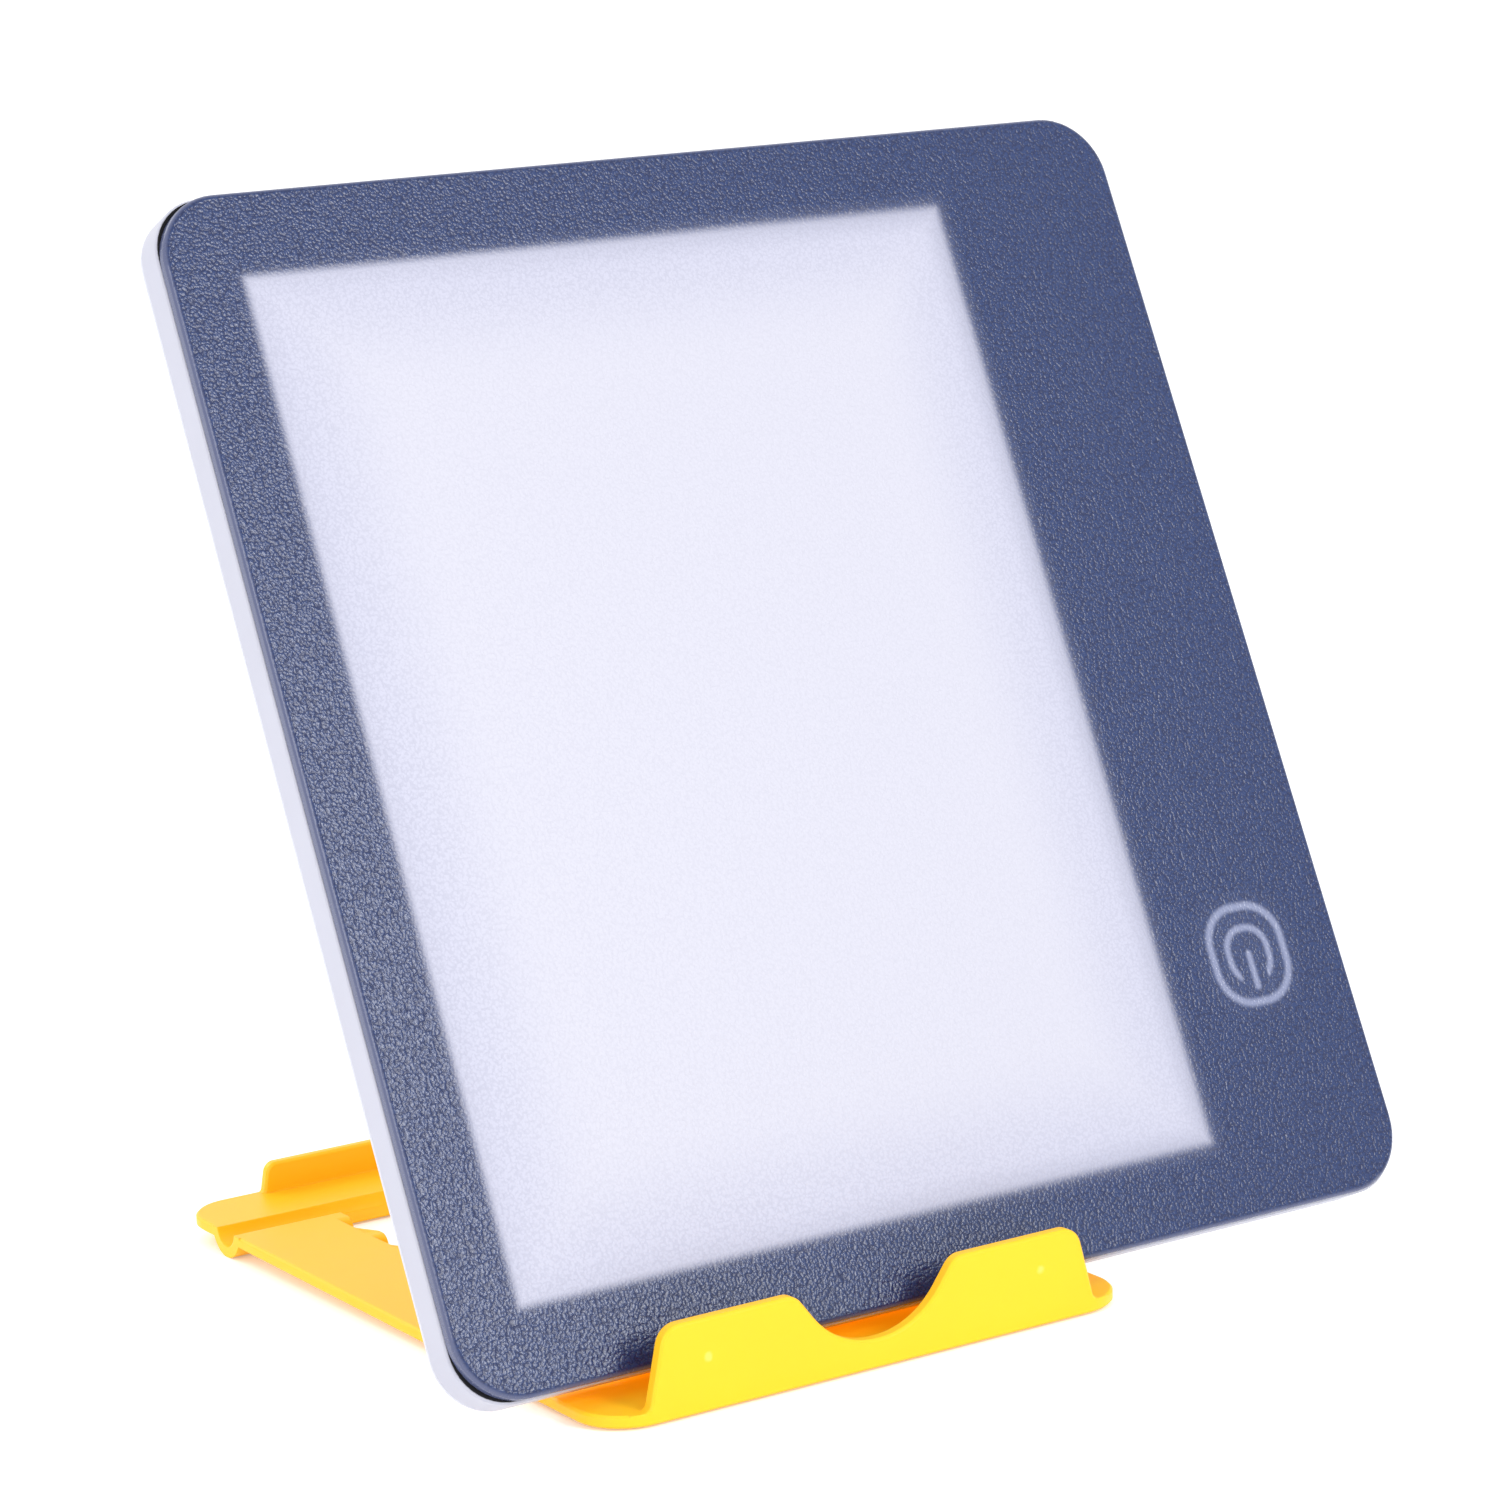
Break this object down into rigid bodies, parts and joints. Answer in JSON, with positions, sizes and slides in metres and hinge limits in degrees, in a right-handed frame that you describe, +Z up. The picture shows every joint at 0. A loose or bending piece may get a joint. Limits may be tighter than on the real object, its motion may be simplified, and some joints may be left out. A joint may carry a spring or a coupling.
{
  "type": "light therapy lamp",
  "caption": "Thin rectangular edge-lit light panel with a wide grained border and a touch symbol, leaning in a folding stand with a notched front lip.",
  "frame": {"origin": "on the table, under the middle of the whole object's outline at rest", "axes": "+X to the viewer's right, +Y to the rear, +Z up; the light shines towards -Y"},
  "size_m": [0.143, 0.1129, 0.1438],
  "materials": {
    "pebbled_cover": "fine pebble grain, satin",
    "printed_film": "matte print",
    "black_adhesive": "matte",
    "white_shell": "smooth, semi-gloss",
    "screw_steel": "zinc plated",
    "reflector_film": "matte white",
    "clear_acrylic": "clear, dotted on the back",
    "diffuser_film": "frosted",
    "prism_film": "clear, ribbed",
    "white_board": "white solder mask",
    "led_package": "phosphor and white package",
    "amber_film": "polyimide film",
    "green_board": "green solder mask",
    "black_resin": "moulded epoxy",
    "ferrite": "matte",
    "ceramic": "matte",
    "socket_steel": "plated",
    "copper_foil": "satin",
    "dark_foam": "conductive foam",
    "yellow_shell": "glossy injection moulding",
    "clear_silicone": "matte silicone",
    "pin_steel": "polished"
  },
  "bodies": {
    "stand": {"stand_base": "yellow_shell", "base_hinge_pin": "pin_steel", "front_feet": "clear_silicone"},
    "backrest": {"backrest": "yellow_shell", "backrest_pads": "clear_silicone", "prop_hinge_pin": "pin_steel"},
    "prop": {"prop": "yellow_shell"},
    "lamp": {"front_cover": "pebbled_cover", "border_mask": "printed_film", "cover_gasket": "black_adhesive", "side_frame": "white_shell", "rear_cover": "white_shell", "rear_screws": "screw_steel", "reflector_sheet": "reflector_film", "light_guide": "clear_acrylic", "diffuser_sheet": "diffuser_film", "prism_sheet": "prism_film", "led_board": "white_board", "led_chips": "led_package", "led_ribbon": "amber_film", "control_board": "green_board", "driver_chip": "black_resin", "power_inductor": "ferrite", "filter_capacitors": "ceramic", "socket_shell": "socket_steel", "socket_tongue": "black_resin", "touch_electrode": "copper_foil", "touch_contact": "dark_foam"}
  },
  "joints": [
    {"name": "backrest_tilt", "type": "hinge", "parent": "stand", "child": "backrest", "pos_m": [-0.01775, -0.03818, 0.00371], "axis": [-1, 0, 0], "range_deg": [0, 65.15]},
    {"name": "prop_swing", "type": "hinge", "parent": "backrest", "child": "prop", "pos_m": [-0.01775, -0.02187, 0.04057], "axis": [1, 0, 0], "range_deg": [0, 130.3]},
    {"name": "lamp_lift", "type": "slide", "parent": "backrest", "child": "lamp", "axis": [0, 0.4046, 0.9145], "range_m": [0, 0.1]}
  ],
  "couplings": [
    {"joint": "prop_swing", "follows": "backrest_tilt", "ratio": 2}
  ]
}
